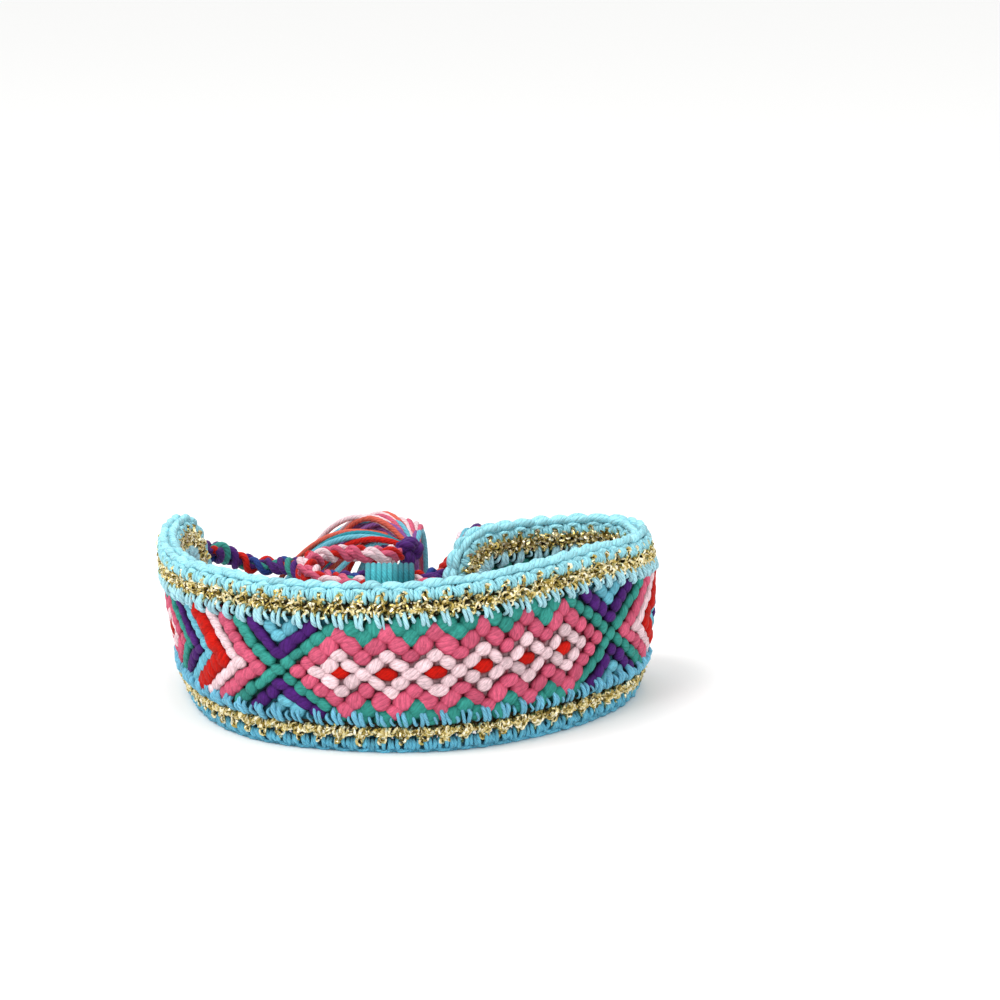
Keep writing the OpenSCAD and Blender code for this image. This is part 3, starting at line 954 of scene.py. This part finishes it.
# how much knots differ: size and tone as shares, place in mm, turn in degrees
SIZE_SPREAD = 0.08
TONE_SPREAD = 0.07
PLACE_SPREAD = 0.08
LEAN_SPREAD = 8
# tone left in the creases as painted shade, and how much stronger the colour is there as painted bounce
# light
CREASE_SHADE = 0.3
DEEPEN = 0.7


def bean(half_length, rise, wide, thick):
    """Points (along, across, out) of one knot, ring by ring."""
    t = np.radians(np.linspace(-BEAN_ARC, BEAN_ARC, BEAN_RINGS))
    path = np.stack([half_length * np.sin(t), 0 * t, rise * np.cos(t)], -1)
    ahead = unit(np.gradient(path, axis=0))
    out = np.stack([-ahead[:, 2], 0 * t, ahead[:, 0]], -1)
    angle = np.arange(BEAN_SIDES) * 2 * np.pi / BEAN_SIDES
    swell = (0.6 + 0.4 * np.cos(t) ** 0.7)[:, None, None]
    return (path[:, None] + swell * thick * np.cos(angle)[None, :, None] * out[:, None]
            + swell * wide * np.sin(angle)[None, :, None] * np.array([0, -1, 0]))


def tie_knots(face, half_length, rise, wide, thick):
    """All knots of one face: a batch as tubes() makes it. The measures are one
    bean's, in mm: half its length, the rise of its arch, and its half width and
    half thickness."""
    count = len(knots)
    template = bean(half_length, rise, wide, thick)
    u, v, lean = (np.array([k[c] for k in knots]) for c in (0, 1, 2))
    colours = np.array([DYES[knot_colour(k[3], k[4])] for k in knots])
    size = 1 + SIZE_SPREAD * chance.normal(size=(count, 3))
    size *= np.array([knot_size(k[3], k[4]) for k in knots])
    slant = np.radians(LEAN * lean + LEAN_SPREAD * chance.normal(size=count))
    x, y, z = (template[None, ..., c] * size[:, c, None, None] for c in range(3))
    cos, sin = np.cos(slant)[:, None, None], np.sin(slant)[:, None, None]
    shift = PLACE_SPREAD * chance.normal(size=(2, count))
    place_u = (u + shift[0])[:, None, None] + x * cos - y * sin
    place_v = (v + shift[1])[:, None, None] + x * sin + y * cos
    points = on_band(place_u, place_v, face * (CORE_T / 2 + z))
    tone = 1 + TONE_SPREAD * chance.normal(size=(count, 1))
    height = template[..., 2] / template[..., 2].max()
    crease_shade = CREASE_SHADE + (1 - CREASE_SHADE) * np.clip(height * 1.25, 0, 1) ** 1.5
    crease_shade = crease_shade[None, ..., None]
    # creases are painted darker and stronger: painted shade and painted bounce light
    dye = (colours * tone)[:, None, None] ** (1 + DEEPEN * (1 - crease_shade)) * crease_shade
    # tubes give the faces and the lay, and the beans' own points replace the tubes'
    batch = tubes(points.mean(2), 1.0, BEAN_SIDES, colours)
    faces = [corners[::-1] for corners in batch[1]] if face < 0 else batch[1]
    return points.reshape(-1, 3), faces, batch[2], dye.reshape(-1, 3)


tied = tie_knots(1, half_length=1.2, rise=0.36, wide=1.16, thick=0.58)
piece("front_knots", [tied], knot_cotton, "panel_cotton", "knotted_panel")
tied = tie_knots(-1, half_length=1.14, rise=0.3, wide=1.12, thick=0.5)
piece("back_knots", [tied], knot_cotton, "panel_cotton", "knotted_panel")


# %% [markdown]
# Between the knots the inner strands show as a bed of the same colours. It is a thin
# closed sheet, coloured by the same chart and darkened as painted shade.

# %% Bed of strands under the knots
BED_STEP = 0.6
BED_ROWS = 26
# how far it reaches under the metallic round, at the ends and along the edges
BED_LAP_ENDS = 0.8
BED_LAP = 0.5
# its painted shade against a knot's colour: deeper by the power, darker by the shade
BED_DEEPEN = 1.5
BED_SHADE = 0.45

bed_u = np.arange(PANEL_INSET - BED_LAP_ENDS, band_l - PANEL_INSET + BED_LAP_ENDS, BED_STEP)
bed_share = np.linspace(-1, 1, BED_ROWS)
grid_u, grid_share = np.meshgrid(bed_u, bed_share, indexing="ij")
grid_v = grid_share * (half_height(grid_u) + BED_LAP)
near_j = ROW_SHARE * (grid_v - PATTERN_LIFT) / (
    half_height(grid_u) - PATTERN_LIFT * np.sign(grid_v - PATTERN_LIFT))
near_i = np.interp(grid_u - PATTERN_MID, SPREAD[:, 1], SPREAD[:, 0])
near_i = np.interp(grid_u - PATTERN_MID - slip(near_i, near_j), SPREAD[:, 1], SPREAD[:, 0])
near_j = near_j - bulge(near_i, near_j)


def nearest_shade_colour(i, j):
    """Shaded colour of the knot nearest to a place between lattice places."""
    a, b = round((i + j) / 2), round((i - j) / 2)
    return DYES[knot_colour(a + b, max(-LAST_ROW, min(LAST_ROW, a - b)))] ** BED_DEEPEN * BED_SHADE


bed_shade_colour = np.array([[nearest_shade_colour(i, j) for i, j in zip(*rows)] for rows in zip(near_i, near_j)])
loop = np.concatenate([np.arange(BED_ROWS), np.arange(BED_ROWS)[::-1]])
out = np.where(np.arange(2 * BED_ROWS) < BED_ROWS, CORE_T / 2, -CORE_T / 2)
bed_points = on_band(grid_u[:, loop], grid_v[:, loop], np.broadcast_to(out, (len(bed_u), 2 * BED_ROWS)))
# a tube gives the faces and the lay, and the sheet's own points replace the tube's
bed = tubes(bed_points.mean(1)[None], 1.0, 2 * BED_ROWS, (0, 0, 0))
bed_batch = (bed_points.reshape(-1, 3), bed[1], bed[2], bed_shade_colour[:, loop].reshape(-1, 3))
piece("bed_of_strands", [bed_batch], knot_cotton, "panel_cotton", "knotted_panel", smooth=False)


# %% [markdown]
# All that is crocheted follows the band's outer edge, so it is laid out along
# that edge: how far along, how deep in from it, and how far out of the face. The
# same strand is drawn in every stitch, with small random differences, because
# crochet is one stitch repeated. A stitch is 3.1 mm wide.

# %% The band's outer edge
# width of a stitch in mm, and rows of the edge along each side and round a corner
STITCH = 3.1
FLAT_STEPS = 160
CORNER_STEPS = 12


def corner_rows(u, v, start):
    """Rows of the edge round a corner whose middle is at u, v: a quarter turn from start."""
    a = start + np.linspace(0, np.pi / 2, CORNER_STEPS)
    du, dv = np.sin(a), np.cos(a)
    return np.stack([u + CORNER_R * du, v + CORNER_R * dv, du, dv], -1)


def edge_table():
    """Dense rows of u, v and outward direction along the band's outer edge."""
    flat_u = np.linspace(CORNER_R, band_l - CORNER_R, FLAT_STEPS)
    half_w = width_at(flat_u) / 2
    upper = np.stack([flat_u, half_w, 0 * flat_u, 0 * flat_u + 1], -1)
    right, left = width_at(band_l) / 2 - CORNER_R, width_at(0.0) / 2 - CORNER_R
    turns = [corner_rows(band_l - CORNER_R, right, 0), corner_rows(band_l - CORNER_R, -right, np.pi / 2),
             corner_rows(CORNER_R, -left, np.pi), corner_rows(CORNER_R, left, 1.5 * np.pi)]
    rows = [upper, turns[0][1:], turns[1][:-1], upper[::-1] * (1, -1, 1, -1), turns[2][1:], turns[3][:-1]]
    return np.vstack(rows + [upper[:1]])


edge = edge_table()
edge_s = np.concatenate([[0], np.cumsum(np.linalg.norm(np.diff(edge[:, :2], axis=0), axis=1))])
edge_l = edge_s[-1]
stitches = round(edge_l / STITCH)
stitch_l = edge_l / stitches
print("edge, mm:", round(edge_l, 1), "stitches:", stitches)


# %% Drawing a strand in every stitch
# share of red, green and blue left on the lower edge: painted shade, deeper and bluer there because the
# light comes from above
LOW_EDGE_SHADE = np.array([0.38, 0.69, 0.85])
# how much stitches differ in tone, and how much darker a strand is painted where it dives in, as painted
# shade
STITCH_TONE = 0.06
END_SHADE = 0.7


def on_edge(s, depth, w):
    """Places s along the band's edge, depth in from it and w out of its face."""
    s = s % edge_l
    u, v, du, dv = (np.interp(s, edge_s, edge[:, c]) for c in range(4))
    length = np.hypot(du, dv)
    return on_band(u - depth * du / length, v - depth * dv / length, w)


def in_every_stitch(points, radius, dye, face=1, jitter=0.04, sides=6, flat=1.0, taper=0.45, per_span=4,
                    low=0.0, stray=0.05):
    """The same strand in every stitch: points are (along, depth, out) in mm, jitter
    is how far they stray in mm, taper the share of its thickness left at its tips,
    low how much deeper it lies on the band's lower edge, and stray how unequal its
    thickness is."""
    rows = np.asarray(points, float)[:, None] + jitter * chance.normal(size=(len(points), stitches, 3))
    local = smooth_rows(rows, per_span).transpose(1, 0, 2)
    s = (np.arange(stitches) * stitch_l)[:, None] + local[..., 0]
    lower = np.clip(-np.interp(s % edge_l, edge_s, edge[:, 3]), 0, 1)
    local[..., 1] += low * lower
    paths = on_edge(s, local[..., 1], face * local[..., 2])
    up = on_edge(s[:, 0], local[:, 0, 1], face * (local[:, 0, 2] + 1)) - paths[:, 0]
    t = np.linspace(0, 1, paths.shape[1])
    width = radius * (taper + (1 - taper) * np.sin(np.pi * t) ** 0.6)
    width = width * (1 + stray * chance.normal(size=(stitches, 1)))
    # painted shade on the lower edge, and a random tone for each stitch
    tone = (1 - (1 - LOW_EDGE_SHADE) * lower[:, :1]) * (1 + STITCH_TONE * chance.normal(size=(stitches, 1)))
    return tubes(paths, width, sides, DYES[dye][None] * tone, up=up, flat=flat, end_shade=END_SHADE)


at = on_edge(np.zeros(1), np.zeros(1), np.zeros(1))
print("the edge starts, mm:", np.round(at, 1).tolist())


# %% [markdown]
# The outer round is worked in single crochet. On the very edge lies a chain of
# leaf-shaped loops, one leg towards each face, each tucked under the next. From
# every chain stitch four yarns run down the face, and between those of one
# stitch and the next the metallic round pushes through. A second loop lies under
# the chain on each face and makes the edge as thick as the real one.

# %% Outer crocheted round
# along, depth and out of the face, in mm
CHAIN_LOOP = [(-0.6, 1.2, 0.0), (0.2, 0.6, 0.5), (1.5, 0.35, 0.75), (2.7, 0.55, 0.65), (3.6, 1.1, 0.05)]
UNDER_LOOP = [(-1.9, 1.6, 0.7), (-0.9, 1.2, 1.15), (0.2, 1.2, 1.2), (1.3, 1.6, 0.7)]
CHAIN_R = 0.66
UNDER_R = 0.4
# along and depth of each bar's top and foot, in mm
BARS = [(-0.98, 0.9, -0.92, 3.0), (-0.36, 0.9, -0.25, 2.8), (0.3, 0.9, 0.3, 2.9), (0.92, 0.9, 0.9, 3.1)]
BAR_R = 0.35
# the cord inside the chain closes the slit between the faces, and its colour is darkened as painted shade
CORE_R = 0.45
CORE_DEPTH = 0.7
CORE_SHADE = 0.6
ROUND_STEPS = 320
HALF = stitch_l / 2
around = np.linspace(0, edge_l, ROUND_STEPS, endpoint=False)


def bar(top, top_depth, foot, foot_depth):
    """Points of one of the yarns that run down the face from a chain stitch."""
    return [(HALF + top, top_depth, 0.7), (HALF + (2 * top + foot) / 3, top_depth + 0.6, 1.3),
            (HALF + (top + 2 * foot) / 3, foot_depth - 0.7, 1.3), (HALF + foot, foot_depth, 0.75)]


for face, name in ((1, "front"), (-1, "back")):
    border_yarns = [
        in_every_stitch(CHAIN_LOOP, CHAIN_R, "rim", face, jitter=0.08, sides=7, taper=0.15),
        in_every_stitch(UNDER_LOOP, UNDER_R, "rim", face, jitter=0.08, low=-0.35)]
    for measures in BARS:
        border_yarns.append(in_every_stitch(bar(*measures), BAR_R, "rim", face, jitter=0.1, per_span=3))
    if face == 1:
        core = on_edge(around, np.full(ROUND_STEPS, CORE_DEPTH), np.zeros(ROUND_STEPS))
        border_yarns.append(tubes(core[None], CORE_R, 8, DYES["rim"][None] * CORE_SHADE, closed=True))
    piece(name + "_crocheted_round", border_yarns, crochet_cotton, "border_cotton", "crochet_border")


# %% [markdown]
# Inside it runs the metallic round. Each of its stitches is a knob of crumpled
# curls that reaches out into the blue in a point, over a dense row of more. On
# the lower edge the row is squeezed, because the work is drawn in there, and on
# the inner face it is wider, because it starts nearer the rim. The strip is
# flat, so its section is flattened, and it is left faceted on purpose: flat
# facets flash where a smooth tube would only glow.

# %% Metallic round
# along and depth in mm of the curls that make one knob
KNOB = [(-0.55, 2.9), (0.5, 2.9), (-0.28, 2.3), (0.3, 2.3), (0.0, 1.8)]
# depth in mm of the row's curls, from the first to the last
ROW_TOP = 3.3
BACK_TOP = 2.4
ROW_FOOT = 4.8
# how much further out of the face it lies on the back
BACK_OUT = 0.2
# how much deeper it lies on the lower edge, and how much of its depth is lost there
GOLD_LOW = 0.8
LOW_SQUEEZE = 0.85
# size of a curl, thickness of the strip, and the places where a curl is drawn
LOOP_R = 0.4
STRIP_R = 0.29
LOOP_TURN = np.radians((0, 60, 120, 180, 240))
LOOP_LIFT = np.array([0.7, 1.3, 1.5, 1.3, 0.7])
# steps of the golden ratio never line up, so the row has no pattern in its depth
GOLDEN = 0.618


def curls(places, face, out):
    """Small curls of the strip at places (along, depth), repeated in every stitch
    and lifted off the face by out mm more than the front's."""
    batches = []
    for along, deep in places:
        turn = 2 * np.pi * chance.random() + LOOP_TURN
        points = [(along + LOOP_R * math.cos(a), deep + LOOP_R * math.sin(a), w)
                  for a, w in zip(turn, LOOP_LIFT + out)]
        low = GOLD_LOW - LOW_SQUEEZE * max(0, deep - ROW_TOP)
        batches.append(in_every_stitch(points, STRIP_R, "sky", face, jitter=0.1, sides=4, flat=0.6,
                                       per_span=2, taper=0.7, low=low, stray=0.12))
    return batches


for face, name, count, top, out in ((1, "front_lurex", 12, ROW_TOP, 0),
                                    (-1, "back_lurex", 14, BACK_TOP, BACK_OUT)):
    row = [(stitch_l * (k / count - 0.5), top + (ROW_FOOT - top) * ((k * GOLDEN) % 1)) for k in range(count)]
    piece(name, curls(KNOB + row, face, out), metallic_yarn, "gold_lurex", "gold_round", smooth=False)


# %% [markdown]
# Lurex is spun round a cotton thread, which shows in the gaps between the
# curls. One flat cord under them all is enough for that, because nothing
# more of the thread can be seen. Its near-black colour is painted shade for those gaps.

# %% Thread in the lurex, in painted shade
THREAD_DEPTH = 4.2
THREAD_R = 1.2
THREAD_SHADE = np.array(linear("#453818"))

thread_line = on_edge(around, np.full(ROUND_STEPS, THREAD_DEPTH), np.zeros(ROUND_STEPS))
thread_up = on_edge(around[:1], np.full(1, THREAD_DEPTH), np.ones(1)) - thread_line[:1]
thread = tubes(thread_line[None], THREAD_R, 8, THREAD_SHADE[None], up=thread_up, flat=0.5, closed=True)
piece("thread_in_shade", [thread], crochet_cotton, "gold_lurex", "gold_round")


# %% [markdown]
# The crochet is held to the panel by blue yarn that passes over the panel's
# edge, three times in a stitch, and dives in between the outer knots. In the
# middle of the band it is pulled tight, so it looks thinner there.

# %% Binding stitches over the panel's edge
# place along the stitch, length and thickness of each yarn, in mm
BINDING = [(-0.8, 2.0, 0.41), (-0.05, 2.3, 0.41), (0.95, 1.5, 0.28)]
# depths in mm at which the yarn comes up and from which its length is counted
BINDING_FROM = 4.2
LENGTH_FROM = 4.3
# share of the thickness left in the middle, and mm from there at which that ends
TIGHT = 0.78
TIGHT_UNTIL = (25, 33)
from_middle = np.abs(np.interp(np.arange(stitches) * stitch_l, edge_s, edge[:, 0]) - PATTERN_MID)
ease = np.interp(from_middle, TIGHT_UNTIL, (TIGHT, 1))[:, None]


def over_the_edge(at, long):
    """Points (along, depth, out) of one binding yarn."""
    return [(at, BINDING_FROM, 0.8), (at + 0.12, 4.8, 1.4),
            (at + 0.42, LENGTH_FROM + 0.8 * long, 1.55), (at + 0.5, LENGTH_FROM + long, 0.5)]


binding = []
for face in (1, -1):
    for at, long, radius in BINDING:
        binding.append(in_every_stitch(
            over_the_edge(at, long), radius * ease, "frost", face, jitter=0.1, per_span=3, taper=0.8,
            low=GOLD_LOW - 0.1, stray=0.15))
piece("binding_yarn", binding, crochet_cotton, "border_cotton")
